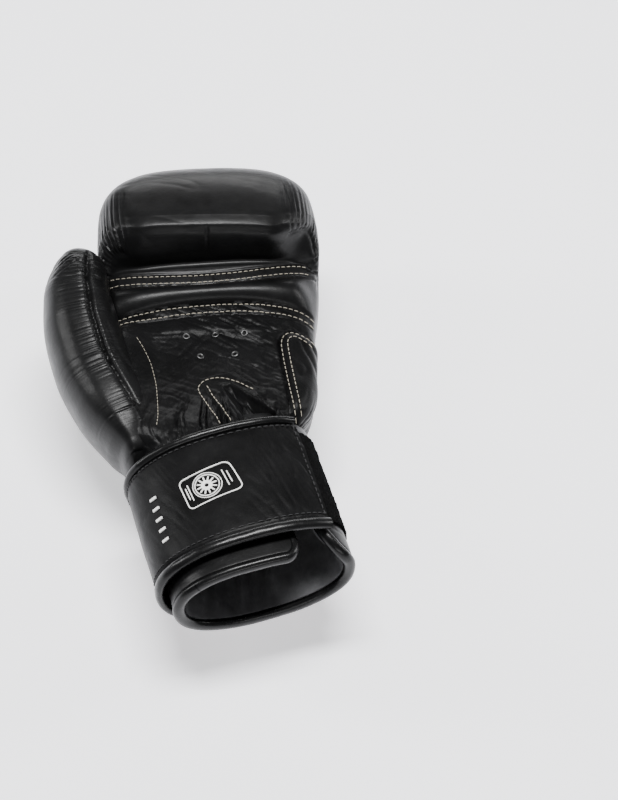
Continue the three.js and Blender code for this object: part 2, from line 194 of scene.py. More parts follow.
def groove(distance, depth, width):
    return -depth * bell(distance, width)


def beside(x, y, start, end):
    """Distance of points to the right of the line from start to end, negative on its left."""
    (x0, y0), (x1, y1) = start, end
    return ((y1 - y0) * (x - x0) - (x1 - x0) * (y - y0)) / math.hypot(x1 - x0, y1 - y0)


# ---- Meshes ----
def polygons(faces):
    return [polygon for group in faces for polygon in group.tolist()]


def make_object(name, vertices, faces, material, body=None, node_slot="glove_leather"):
    """A smooth-shaded closed piece from vertices in millimetres, turned to face out."""
    vertices = np.asarray(vertices, float).reshape(-1, 3)
    volume = 0.0
    for face in faces:
        first = face[:, 0]
        for k in range(1, face.shape[1] - 1):
            a, b, c = vertices[first], vertices[face[:, k]], vertices[face[:, k + 1]]
            volume += np.einsum("ij,ij->i", a, np.cross(b, c)).sum()
    if volume < 0:
        faces = [f[:, ::-1] for f in faces]
    mesh = bpy.data.meshes.new(name)
    mesh.from_pydata((vertices * MM).tolist(), [], polygons(faces))
    mesh.polygons.foreach_set("use_smooth", np.ones(len(mesh.polygons), bool))
    mesh.update()
    mesh.set_sharp_from_angle(angle=SHARP_ANGLE)
    piece = bpy.data.objects.new(name, mesh)
    bpy.context.scene.collection.objects.link(piece)
    piece.data.materials.append(material)
    if body:
        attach(piece, body)
    return piece


def grid_faces(rows, columns):
    """Quads between neighbouring rows of closed rings."""
    index = np.arange(rows * columns).reshape(rows, columns)
    after = np.roll(index, -1, axis=1)
    quads = np.stack([index[:-1], after[:-1], after[1:], index[1:]], -1)
    return quads.reshape(-1, 4)


def tube(points):
    """Vertices and faces of a closed skin over rings of points, with a fan over each end ring."""
    rows, columns = points.shape[:2]
    vertices = np.concatenate([points.reshape(-1, 3), points[:1].mean(1), points[-1:].mean(1)])
    ring = np.arange(columns)
    after = np.roll(ring, -1)
    start, end = rows * columns, rows * columns + 1
    last = (rows - 1) * columns
    first_fan = np.stack([after, ring, np.full(columns, start)], -1)
    last_fan = np.stack([ring + last, after + last, np.full(columns, end)], -1)
    return vertices, [grid_faces(rows, columns), np.concatenate([first_fan, last_fan])]


def closed_layers(one, other):
    """Vertices and faces of a sleeve of some thickness, from the rings of its two sides."""
    shell = np.concatenate([one, other[::-1]])
    rows, columns = shell.shape[:2]
    first = np.arange(columns)
    last = first + (rows - 1) * columns
    rim = np.stack([last, np.roll(last, -1), np.roll(first, -1), first], -1)
    return shell, [np.concatenate([grid_faces(rows, columns), rim])]


def grid_normals(points, row, column, outward):
    """Normals of rings of points. At one row and column they face the way that is given as outward."""
    along = np.gradient(points, axis=0)
    across = np.roll(points, -1, axis=1) - np.roll(points, 1, axis=1)
    n = np.cross(across, along)
    n = n / np.maximum(np.linalg.norm(n, axis=-1, keepdims=True), 1e-9)
    return n if n[row, column] @ outward >= 0 else -n


def join_parts(parts):
    """Several (vertices, faces) as one."""
    vertices, faces, start = [], [], 0
    for v, fs in parts:
        vertices.append(v)
        faces += [f + start for f in fs]
        start += len(v)
    return np.concatenate(vertices), faces


def distances(points):
    """How far along a line each of its points is."""
    return np.concatenate([[0], np.cumsum(np.linalg.norm(np.diff(points, axis=0), axis=1))])


def curve_points(points, spacing):
    """Points at equal spacing along a smooth curve through the given ones."""
    p = np.asarray(points, float)
    reach = distances(p)
    fine = np.linspace(0, reach[-1], 40 * len(p))
    dense = np.stack([through(fine, reach, p[:, k]) for k in range(p.shape[1])], -1)
    length = distances(dense)
    steps = np.linspace(0, length[-1], max(2, int(round(length[-1] / spacing)) + 1))
    return np.stack([np.interp(steps, length, dense[:, k]) for k in range(p.shape[1])], -1)


# ---- Materials ----
def set_inputs(tree, node, inputs):
    """Sets a node's sockets: another node's output is linked, and a plain value is written in."""
    for socket, value in inputs.items():
        if isinstance(value, bpy.types.NodeSocket):
            tree.links.new(value, node.inputs[socket])
        else:
            node.inputs[socket].default_value = value
    return node


def node_material(name, roughness, specular, sheen=0.0):
    material = bpy.data.materials.new(name)
    material.use_nodes = True
    tree = material.node_tree
    finish = {"Roughness": roughness, "Specular IOR Level": specular, "Sheen Weight": sheen}
    shader = set_inputs(tree, tree.nodes["Principled BSDF"], finish)
    place = tree.nodes.new("ShaderNodeTexCoord").outputs["Object"]
    return material, tree, shader, place


def noise_texture(tree, place, scale, detail=4.0, roughness=0.55):
    inputs = {"Vector": place, "Scale": scale, "Detail": detail, "Roughness": roughness}
    return set_inputs(tree, tree.nodes.new("ShaderNodeTexNoise"), inputs).outputs["Fac"]


def mottle(tree, shader, value, *ends):
    """Colours a shader from one colour to another. Each end is a texture's value and its colour."""
    node = set_inputs(tree, tree.nodes.new("ShaderNodeValToRGB"), {"Fac": value})
    for k, (position, color) in enumerate(ends):
        node.color_ramp.elements[k].position = position
        node.color_ramp.elements[k].color = color
    set_inputs(tree, shader, {"Base Color": node.outputs["Color"]})


def bump(tree, height, strength, distance, below=None):
    """A bumped normal, on top of another one where below is given. distance is in metres."""
    inputs = {"Height": height, "Strength": strength, "Distance": distance}
    if below is not None:
        inputs["Normal"] = below
    return set_inputs(tree, tree.nodes.new("ShaderNodeBump"), inputs).outputs["Normal"]


def grey(value):
    """A grey that leans a little to blue."""
    return (value, value, value * 1.04, 1)


def leather(name, dark, light, roughness, grain, fold, shine):
    """Dyed leather: pores and fine cells, soft folds, and patches that are a little duller or lighter."""
    material, tree, shader, place = node_material(name, roughness, shine)
    mottle(tree, shader, noise_texture(tree, place, 38, 5), (0.35, grey(dark)), (0.72, grey(light)))
    dull = noise_texture(tree, place, 120, 3)
    limits = {"Value": dull, "To Min": roughness - 0.09, "To Max": roughness + 0.12}
    uneven = set_inputs(tree, tree.nodes.new("ShaderNodeMapRange"), limits)
    cells = tree.nodes.new("ShaderNodeTexVoronoi")
    cells.feature = "DISTANCE_TO_EDGE"
    set_inputs(tree, cells, {"Vector": place, "Scale": 950})
    folds = bump(tree, noise_texture(tree, place, 210, 6, 0.6), fold, 0.0006)
    pores = bump(tree, cells.outputs["Distance"], grain, 0.00025, folds)
    set_inputs(tree, shader, {"Roughness": uneven.outputs["Result"], "Normal": pores})
    return material


def cloth(name, dark, light, scale, strength, sheen):
    """Woven cloth: two crossed waves for the threads."""
    material, tree, shader, place = node_material(name, 0.85, 0.1, sheen)
    mottle(tree, shader, noise_texture(tree, place, 90), (0.3, grey(dark)), (0.75, grey(light)))
    weave = tree.nodes.new("ShaderNodeMath")
    weave.operation = "MAXIMUM"
    for k, direction in enumerate(("X", "Y")):
        wave = tree.nodes.new("ShaderNodeTexWave")
        wave.bands_direction = direction
        set_inputs(tree, wave, {"Vector": place, "Scale": scale, "Distortion": 0.6})
        set_inputs(tree, weave, {k: wave.outputs["Fac"]})
    set_inputs(tree, shader, {"Normal": bump(tree, weave.outputs["Value"], strength, 0.0003)})
    return material


def pile(name):
    """Hook-and-loop pile: a fuzzy mat."""
    material, tree, shader, place = node_material(name, 1.0, 0.03)
    fuzz = noise_texture(tree, place, 1500, 3, 0.75)
    mottle(tree, shader, fuzz, (0.35, grey(0.0005)), (0.75, grey(0.007)))
    set_inputs(tree, shader, {"Normal": bump(tree, fuzz, 0.9, 0.0008)})
    return material


def plain(name, color, roughness, texture_scale, strength, metallic=0.0):
    """A surface of one colour that is slightly uneven in tone and height."""
    material, tree, shader, place = node_material(name, roughness, 0.25)
    low = tuple(c * 0.86 for c in color) + (1,)
    high = tuple(min(1, c * 1.08) for c in color) + (1,)
    mottle(tree, shader, noise_texture(tree, place, texture_scale * 0.2), (0.3, low), (0.75, high))
    fine = noise_texture(tree, place, texture_scale, 3)
    set_inputs(tree, shader, {"Metallic": metallic, "Normal": bump(tree, fine, strength, 0.0003)})
    return material


# name, darkest and lightest grey, roughness, height of the pores and of the folds, shine
LEATHER = leather("black_leather", 0.002, 0.005, 0.33, 0.14, 0.2, 0.15)
GLOSSY = leather("glossy_leather", 0.002, 0.004, 0.26, 0.06, 0.1, 0.22)
WORN = leather("palm_leather", 0.002, 0.005, 0.33, 0.3, 0.42, 0.07)
STRAP_LEATHER = leather("strap_leather", 0.002, 0.005, 0.36, 0.24, 0.24, 0.07)

# name, darkest and lightest grey, scale and height of the weave, sheen
LINING = cloth("lining_cloth", 0.045, 0.085, 420, 0.25, 0.02)
# Near-black cloth: painted shade in the palm's slit and round the mitt's hollow, where there is only shadow.
HOLE_SHADE_LINING = cloth("lining_painted_shade", 0.001, 0.003, 420, 0.25, 0.0)
LABEL_CREAM = cloth("label_cream", 0.34, 0.46, 650, 0.5, 0.1)
PILE = pile("loop_pile")

# name, colour, roughness, scale and height of the unevenness
THREAD = plain("white_thread", (0.3, 0.275, 0.225), 0.75, 2500, 0.5)
BLACK_THREAD = plain("black_thread", (0.02, 0.02, 0.021), 0.6, 2500, 0.5)
PRINT = plain("white_print", (0.72, 0.72, 0.7), 0.5, 1500, 0.1)
BADGE_FIELD = plain("badge_field", (0.78, 0.77, 0.74), 0.42, 700, 0.08)
BADGE_RED = plain("badge_red", (0.42, 0.006, 0.012), 0.4, 700, 0.08)
BADGE_DARK = plain("badge_dark", (0.012, 0.012, 0.013), 0.38, 700, 0.08)
LABEL_RED = plain("label_red", (0.27, 0.006, 0.01), 0.85, 1800, 0.6)
LABEL_BLUE = plain("label_blue", (0.008, 0.02, 0.11), 0.85, 1800, 0.6)
METAL = plain("eyelet_metal", (0.075, 0.075, 0.075), 0.42, 800, 0.05, 1.0)

# ---- The mitt ----
BAR_BACK, BAR_FRONT = BAR_LOW[1] + 5.5, BAR_HIGH[1] - 4.5
FRONT_START = 52.0
FRONT_CENTRE_Z = 59.0
FRONT_POWER = 3.2
NECK_END = -97.0
LEAN_FROM = -30.0
MITT_COLUMNS = 560

# y, half width to the thumb and to the little finger, bottom, widest level, top, squareness below and above
MITT_STATIONS = np.array([
    [-97, 42.5, 43.5, 43.6, 64.5, 92, 2.3, 2.3],
    [-90, 43, 44, 43, 64.5, 92.5, 2.3, 2.4],
    [-85, 44.5, 46, 38, 64, 92.3, 2.3, 2.5],
    [-81, 47, 48.5, 31, 63.5, 91.6, 2.3, 2.7],
    [-74, 51, 53.5, 21.5, 62, 89.6, 2.4, 3],
    [-60, 55, 58, 9, 60, 85.8, 2.4, 3.4],
    [-35, 59, 61, -0.8, 58, 83.4, 2.5, 3.6],
    [-5, 62, 64, -1.4, 58, 83, 2.6, 3.6],
    [6, 63, 66, -1.4, 58, 84.6, 2.6, 3.4],
    [16, 63, 68.3, -1.4, 58, 86, 2.6, 3.2],
    [26, 63.6, 70, -1.2, 58, 86.8, 2.6, 3.1],
    [36, 64.4, 71.2, -0.3, 58, 87.8, 2.6, 3.1],
    [38.4, 64.4, 71.5, 0, 58, 90.2, 2.6, 3.1],
    [39.8, 64, 71.7, 0.4, 58.1, 99.6, 2.6, 3.2],
    [41.3, 63.2, 71.9, 0.8, 58.3, 106.6, 2.6, 3.3],
    [43.1, 62.4, 72.2, 1.3, 58.5, 111.5, 2.6, 3.5],
    [46, 61.6, 72.5, 1.9, 58.8, 114.8, 2.6, 3.7],
    [FRONT_START, 60.6, 73, 2.5, FRONT_CENTRE_Z, 116.2, 2.6, 3.8],
])


def lean(y):
    """How much a ring slants: square to the glove at the fist, square to the cuff's axis at the wrist."""
    share = np.clip((LEAN_FROM - y) / (LEAN_FROM - WRIST[1]), 0, 1)
    return math.tan(YAW) * share


def squared_oval(phi, right, left, top, bottom, power_below, power_above):
    """An oval with its own half width or height on each side. A higher power makes it squarer."""
    c, s = np.cos(phi), np.sin(phi)
    a = np.where(c >= 0, right, left)
    b = np.where(s >= 0, top, bottom)
    n = np.where(s >= 0, power_above, power_below)
    r = (np.abs(c / a) ** n + np.abs(s / b) ** n) ** (-1 / n)
    return r * c, r * s


def pillow_bend(x, z):
    """How far the pillow's lower edge is carried forwards towards its two ends."""
    corners = 12 * smoothstep(36, 68, np.abs(x - 3)) * smoothstep(76, 98, z)
    return corners - 0.065 * (x - 4) * smoothstep(94, 110, z)


def mitt_form():
    """The mitt's plain outer form: rings round Y from the neck to the front of the fist."""
    spans = [(NECK_END, -60, 1.0), (-60, 0, 0.8), (0, 34, 0.6), (34, FRONT_START, 0.35)]
    y = np.concatenate([np.arange(low, high, step) for low, high, step in spans])
    dome = np.radians(np.linspace(0, 86, 90))
    along = np.sin(dome) ** (2 / FRONT_POWER)
    rows_y = np.concatenate([y, FRONT_START + (FIST_Y - FRONT_START) * along])
    scale = np.concatenate([np.ones(len(y)), np.cos(dome) ** (2 / FRONT_POWER)])[:, None]
    sections = stations_at(np.minimum(rows_y, FRONT_START), MITT_STATIONS)
    left, right, bottom, level, top, below, above = sections
    phi = around(MITT_COLUMNS)
    x, z = squared_oval(phi[None], right, left, top - level, level - bottom, below, above)
    x = x * scale
    height = level + z * scale
    bend = pillow_bend(x, height) * span(rows_y, 29, 39, 54, 104)[:, None]
    return np.stack([x, rows_y[:, None] + x * lean(rows_y)[:, None] + bend, height], -1)


# y of a section of the hand's pocket, its half width, bottom and top
POCKET_STATIONS = np.array([
    [-112, 35, 50, 76],
    [-90, 37, 49, 76],
    [-80, 39, 47, 75],
    [-60, 44, 44, 72.5],
    [-20, 49, 39, 76],
    [50, 49, 37, 82],
    [84, 30, 48, 76],
])
POCKET_START, POCKET_END = -101.0, 84.0


def pocket_form(y, phi, grow):
    """Rings of the hand's pocket at places along the glove, grown outwards by some millimetres."""
    half, bottom, top = stations_at(y, POCKET_STATIONS)
    tall = (top - bottom) / 2 + grow
    x, z = squared_oval(phi, half + grow, half + grow, tall, tall, 2.5, 2.5)
    return np.stack([x, y[:, None] + x * lean(y)[:, None], (top + bottom) / 2 + z], -1)


def back_seam(x):
    """y of the seam between the palm and the grip bar, across the palm."""
    return BAR_BACK - np.where(x < 5, 0.0012, 0.0017) * (x - 5) ** 2


def front_seam(x):
    """y of the seam between the grip bar and the finger panel."""
    return BAR_FRONT + 0.0021 * x**2


def pad_inside(x, y):
    """Distance inside the little-finger pad's rounded outline, negative outside it."""
    radius = 10.0
    px = x - (PAD_LOW[0] - 0.045 * (y - PAD_HIGH[1]))
    py = PAD_HIGH[1] - 0.25 * np.maximum(x - 48, 0) - y
    qx, qy = np.maximum(radius - px, 0), np.maximum(radius - py, 0)
    corner = radius - np.hypot(qx, qy)
    return np.where((px < radius) & (py < radius), corner, np.minimum(px, py))


SLIT_CORNERS = [(4, -53), (9, -52), (37, -79), (37, -97), (19, -97)]


def slit_inside(x, y):
    """Distance inside the palm's slit, a wedge that widens into the cuff."""
    inside = np.full(np.shape(x), 1e3)
    for start, end in zip(SLIT_CORNERS, SLIT_CORNERS[1:] + SLIT_CORNERS[:1]):
        inside = np.minimum(inside, beside(x, y, start, end))
    return inside


def slit_strips(x, y):
    """Distance from the slit's left edge, across the folded strips of its gusset."""
    return beside(x, y, SLIT_CORNERS[-1], SLIT_CORNERS[0])


WING_Z = 84.0
WINGS = {-1: (-42, 12), 1: (51, 18)}  # x and radius of the finger panel's rounded wings on each side
BAR_ROLL, WEB_ROLL, PAD_SWELL = 5.4, 11.5, 3.2  # how far these stand up
SEAM_WIDTH = 8.2  # between the two grooves beside each of the grip bar's edges
PLEATS = ((20, 1.1), (33, 0.6))  # coarse and fine folds: how close together and how deep


def mitt_relief(points, normals):
    """How far the leather stands off the plain form: roll, pads, seams, pleats and creases."""
    x, y, z = np.moveaxis(points, -1, 0)
    up = smoothstep(0.15, 0.6, normals[..., 2]) * smoothstep(64, 76, z)
    past_back, past_front = y - back_seam(x), y - front_seam(x)
    relief = np.zeros_like(x)

    # The grip bar's roll, fading at both ends.
    share = np.clip(past_back / (front_seam(x) - back_seam(x)), 0, 1)
    ends = span(x, -61, -50, 50, 67)
    relief += BAR_ROLL * np.sin(np.pi * share) ** 0.85 * ends * up
    puckers = noise(points, (2.6, 14, 14), 31)
    for away in (-past_back, past_front):
        relief += up * (groove(away, 0.9, 1.1) + groove(away - SEAM_WIDTH, 0.7, 1.0))
        relief += up * 0.25 * puckers * bell(away - 4, 5)

    # The web of leather stretched from the palm up to the thumb.
    web = smoothstep(-30, -50, x) * span(y, -99, -80, -16, 8) * smoothstep(64, 80, z)
    relief += WEB_ROLL * web

    # The crease under the finger pillow, which the pillow's rounded lower corners carry forwards.
    crease = CREASE_Y + pillow_bend(x, z)
    relief += smoothstep(66, 84, z) * groove(y - crease, 1.6, 1.2)
    relief += groove(x - 4, 0.55, 0.9) * span(y, 38, 40, 43, 46) * (z > 88)

    # Pleats that fan out from the pillow's two lower corners, over its ends.
    for side, (wing_x, wing_radius) in WINGS.items():
        out, above = side * (x - wing_x), z - WING_Z
        from_wing = np.hypot(out, above) - wing_radius
        wing = smoothstep(0, 4, out) * smoothstep(-3, 2, above) * smoothstep(62, 50, y)
        relief += wing * groove(from_wing, 1.0, 1.1)
        angle = np.arctan2(above, out) + 0.05 * noise(points, (14, 30, 14), 5 + side)
        strength = smoothstep(-3, 6, out) * smoothstep(50, 66, z) * smoothstep(24, 34, y)
        strength *= bell(np.maximum(y - 38, 0), 34) * smoothstep(-1, 2, from_wing)
        strength *= 0.8 + 0.35 * noise(points, (9, 40, 9), 9)
        for folds, depth in PLEATS:
            ridge = np.abs(np.sin(angle * folds + 0.5 * noise(points, (20, 40, 20), folds)))
            relief -= depth * strength * (1 - ridge) ** 2

    # The palm's creases.
    inside_pad, inside_slit = pad_inside(x, y), slit_inside(x, y)
    palm = up * smoothstep(2, -6, past_back) * smoothstep(0, -3, inside_slit) * smoothstep(1, -2, inside_pad)
    strong = 0.35 + 0.65 * smoothstep(-20, 30, x + 0.4 * (y + 30))
    relief += palm * strong * 0.7 * creases(points, 26, 30, 5, 3)
    relief += palm * strong * 0.45 * creases(points, 36, 16, 2.6, 11)
    relief += palm * 0.2 * creases(points, -46, 9, 2.8, 19)
    relief += palm * 0.6 * noise(points, (26, 14, 40), 23)
    near_bar = bell(past_back + 17, 5.5) * span(x, -46, -30, 24, 44)
    relief += palm * near_bar * (1.2 + 0.5 * creases(points, 3, 26, 4, 27))

    # The little-finger pad stands up inside a sewn outline.
    pad = smoothstep(60, 74, z)
    share = np.clip(inside_pad / 9, 0, 1)
    swell = PAD_SWELL * np.sqrt(share * (2 - share))
    relief += pad * (swell + groove(inside_pad, 1.3, 1.1)) * smoothstep(-93, -84, y)
    relief += pad * smoothstep(3, 8, inside_pad) * 0.9 * creases(points, 74, 26, 7, 51)

    # The slit drops away inside a facing that is sewn round it.
    relief += up * 0.9 * span(inside_slit, -9.5, -8.5, -0.4, 0.4) * smoothstep(30, 24, x)
    for away in (-2.6, -5.4):
        relief += up * groove(inside_slit - away, 0.8, 0.7) * smoothstep(-66, -72, y) * smoothstep(30, 24, x)
    across = slit_strips(x, y)
    strips = 3.2 + 1.8 * smoothstep(4, 5.2, across) + 5.5 * smoothstep(8.6, 12, across)
    relief -= up * strips * smoothstep(-0.6, 4.4, inside_slit)

    # The finger panel, the pillow's top and the back are smoother.
    pillow = smoothstep(CREASE_Y, CREASE_Y + 8, y)
    relief += 0.6 * pillow * noise(points, 34, 61) + 0.16 * pillow * creases(points, 20, 40, 9, 63)
    back = 1 - up
    relief += 0.8 * back * noise(points, 45, 71) + 0.2 * back * creases(points, 90, 50, 10, 73)

    # Gathers where the mitt is drawn in at the wrist.
    wrist = span(y, NECK_END, -90, -82, -48)
    turn = np.arctan2(z - WRIST[2], x)
    unrolled = np.stack([y, turn * 52, z * 0], -1)
    relief += wrist * (1.7 * creases(unrolled, 0, 40, 7, 81) + 0.8 * creases(unrolled, 4, 26, 3.4, 83))
    return relief


BADGE_CENTRE = sum(node_box("oval_badge"))[:2] / 2
BADGE_HALF = (44.0, 24.0)
BADGE_SEAT = 1.1  # depth of the flat that the badge is laid in
POCKET_ROOM = 3.0  # between the hand's pocket and the hollow inside the mitt
# The third slot holds the near-black lining cloth, which is painted shade for the slit's hole and the hollow.
LEATHER_SLOT, PALM_SLOT, HOLE_SHADE_SLOT = 0, 1, 2  # in the order in which the mitt is given them
PALM_TILT, PALM_LEVEL = 0.3, 70  # the palm's leather faces up at least this much, and lies above this


def badge_inside(x, y):
    """1 at the badge's centre, 0 on its edge and negative outside it."""
    u, v = (x - BADGE_CENTRE[0]) / BADGE_HALF[0], (y - BADGE_CENTRE[1]) / BADGE_HALF[1]
    return 1 - np.hypot(u, v)


def make_mitt():
    """The mitt's leather, hollow where the hand goes in. Returns a tree to find places on it."""
    form = mitt_form()
    normals = grid_normals(form, len(form) // 2, MITT_COLUMNS // 4, [0, 0, 1])
    skin = form + normals * mitt_relief(form, normals)[..., None]
    under_badge = (badge_inside(skin[..., 0], skin[..., 1]) > 0) & (normals[..., 2] < -0.1)
    skin[..., 2] = np.maximum(skin[..., 2], 0) + BADGE_SEAT * under_badge
    hollow_y = np.linspace(POCKET_END + 2, NECK_END, 60)
    hollow = pocket_form(hollow_y, around(MITT_COLUMNS)[None], POCKET_ROOM)
    vertices, faces = tube(np.concatenate([hollow, skin]))
    piece = make_object("mitt_leather", vertices, faces, LEATHER, "mitt")
    piece.data.materials.append(WORN)
    # The near-black lining cloth, used as painted shade in the slit and the hollow.
    piece.data.materials.append(HOLE_SHADE_LINING)
    paint_mitt(piece, skin, normals, len(hollow))
    covered = ["back_shell", "palm_panel", "finger_panel", "grip_bar_cover", "grip_bar_core"]
    covered += ["thumb_web_panel", "pinky_pad", "pinky_corner_panel", "slit_facing", "slit_gusset"]
    covered += ["knuckle_foam_outer", "knuckle_foam_inner", "finger_foam"]
    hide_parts(*covered)
    return BVHTree.FromPolygons(vertices.tolist(), polygons(faces))


def paint_mitt(piece, skin, normals, inner_rows):
    """Palm leather on the palm's faces, and near-black lining cloth as painted shade down in the slit and
    round the hollow.
    """
    rows, columns = skin.shape[:2]
    x, y, z = skin[:-1].reshape(-1, 3).T
    up = normals[:-1, :, 2].reshape(-1) > PALM_TILT
    palm = up & (z > PALM_LEVEL) & (y < back_seam(x))
    # The slit's floor takes the near-black lining: painted shade for its hole.
    slit = up & (slit_inside(x, y) > 2.2) & (slit_strips(x, y) > 10)
    outer = np.where(slit, HOLE_SHADE_SLOT, np.where(palm, PALM_SLOT, LEATHER_SLOT))
    # The hollow's inner faces take the near-black lining as painted shade. The outer skin's faces are set
    # next.
    which = np.full(len(piece.data.polygons), HOLE_SHADE_SLOT, np.int32)
    start = inner_rows * columns
    which[start : start + (rows - 1) * columns] = outer
    which[-columns:] = LEATHER_SLOT  # the fan over the front of the fist
    piece.data.polygons.foreach_set("material_index", which)


# ---- Sewn thread ----
def on_surface(surface, spot, way=1):
    """The leather's point at a place seen from above, or from below if way is -1, and its outward normal."""
    hit, normal = surface.ray_cast(Vector((*spot, 300 * way)), Vector((0, 0, -way)))[:2]
    if hit is None:
        return None
    return np.array(hit), np.array(normal if normal.z * way > 0 else -normal)


STITCH_SIDES, STITCH_RINGS = 6, 7


def stitch_solid(start, end, normal, radius):
    """One stitch: a short thread whose ends dip into the leather."""
    along = end - start
    length = np.linalg.norm(along)
    along = along / length
    across = unit(np.cross(along, normal))
    rise = np.cross(across, along)
    t = np.linspace(-1, 1, STITCH_RINGS)
    middle = (start + end) / 2
    centres = middle + along * (t[:, None] * length / 2) + rise * (radius * (0.75 - 1.5 * t[:, None] ** 4))
    girth = radius * np.sqrt(np.clip(1 - 0.85 * t**6, 0.05, 1))
    a = around(STITCH_SIDES)[:, None]
    ring = across * np.cos(a) + rise * np.sin(a)
    return tube(centres[:, None] + girth[:, None, None] * ring[None])


def sew(name, lines, place, material, body, pitch=3.3, length=2.6, radius=0.25):
    """Stitches along lines of points. place(point) gives the leather's point and outward normal."""
    parts = []
    for line in lines:
        spots = curve_points(line, pitch)
        for a, b in zip(spots[:-1], spots[1:]):
            middle, half = (a + b) / 2, (b - a) / 2 * (length / pitch)
            first, last, centre = place(middle - half), place(middle + half), place(middle)
            if first is None or last is None or centre is None:
                continue
            if abs(first[0][2] - last[0][2]) > 2 * length:
                continue
            parts.append(stitch_solid(first[0], last[0], centre[1], radius))
    vertices, faces = join_parts(parts)
    return make_object(name, vertices, faces, material, body)


def offset_line(points, distance):
    """A line beside another in the palm's plane, on its left for a positive distance."""
    p = curve_points(points, 2.0)
    d = unit(np.gradient(p, axis=0))
    return p + distance * np.stack([-d[:, 1], d[:, 0]], -1)


BAR_STITCHES = 1.6, 6.4  # distances of the two rows of stitches from each edge of the grip bar
PAD_STITCHES = -1.7, -5.2  # the same inside the pad's outline


def sew_palm(surface):
    """The light stitches on the palm: beside the grip bar, round the pad and the slit, and by the thumb."""
    place = functools.partial(on_surface, surface)
    across = np.linspace(-56, 65, 12)
    for name, seam, outward in (("front_bar_stitches", front_seam, 1), ("back_bar_stitches", back_seam, -1)):
        line = np.stack([across, seam(across)], -1)
        rows = [offset_line(line, outward * away) for away in BAR_STITCHES]
        sew(name, rows, place, THREAD, "mitt")
    left, top = PAD_LOW[0], PAD_HIGH[1]
    outline = [(left + 3.4, -88), (left + 1, -50), (left, top - 11), (left + 3, top - 3)]
    outline += [(left + 10, top), (left + 17, top - 2.5), (left + 23, top - 6)]
    sew("pad_stitches", [offset_line(outline, away) for away in PAD_STITCHES], place, THREAD, "mitt")
    facing = [(0.5, -84), (-3, -74), (-7, -62), (-9.5, -53)]
    facing += [(-6.5, -48.5), (1.5, -46.5), (12, -50), (22, -57)]
    second = [(6.5, -84), (2.5, -72), (-2, -59), (-4.5, -51.5)]
    sew("slit_stitches", [facing, second], place, THREAD, "mitt", 3.0, 2.4, 0.26)
    web = [(-42, -14), (-38, -22), (-34.5, -34), (-33, -50), (-33.5, -70), (-35, -80)]
    sew("web_stitches", [web], place, THREAD, "mitt", 2.6, 2.2, 0.17)


# radius and height of a rolled eyelet's section, from its sunk inner edge over the rim and back
EYELET_PROFILE = [(0.9, -1.5), (1.4, -1.5), (1.4, 0), (2.0, 0.05)]
EYELET_PROFILE += [(2.1, 0.35), (1.8, 0.6), (1.3, 0.55), (0.9, 0.1)]
EYELET_SIDES = 32


def make_eyelets(surface):
    """Rolled metal rings with a dark hole, seated in the palm."""
    rows = len(EYELET_PROFILE)
    for i in range(1, 6):
        seat, normal = on_surface(surface, sum(node_box(f"eyelet_{i}"))[:2] / 2)
        turn = Vector((0, 0, 1)).rotation_difference(Vector(normal)).to_matrix()
        a = around(EYELET_SIDES)
        rings = np.array([[(r * math.cos(t), r * math.sin(t), h) for t in a] for r, h in EYELET_PROFILE])
        rings = rings @ np.array(turn).T + seat
        faces = grid_faces(rows + 1, EYELET_SIDES) % (rows * EYELET_SIDES)
        piece = make_object(f"eyelet_ring_{i}", rings, [faces], METAL, "mitt", "eyelet_metal")
        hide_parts(f"eyelet_{i}")


# ---- The thumb ----
# x, y, z of its centre line, half width to the outside and to the palm, half height
THUMB_STATIONS = np.array([
    [-46, -97, 64, 3.5, 7, 9],
    [-47.5, -92, 64, 5.5, 12.5, 17],
    [-49.5, -84, 65, 7.5, 16.5, 22],
    [-53, -75, 66, 11.5, 19.5, 25],
    [-61.5, -50, 69, 19.8, 24, 27.5],
    [-69.5, -22, 73, 22, 25, 28],
    [-73.3, 2, 78, 22, 22.5, 28],
    [-73.6, 18, 83, 20.5, 19, 26],
    [-72, 32, 87.5, 17, 16.5, 22.5],
    [-70, 41, 90.5, 13, 13, 17.5],
    [-68.6, 46, 92, 8.5, 8.5, 11.5],
    [-67.8, 48.6, 92.8, 2.4, 2.4, 3.2],
])
THUMB_ROWS, THUMB_COLUMNS = 380, 260
THUMB_SEAM = 7.0  # how far the sewn edge lies towards the palm from the thumb's middle


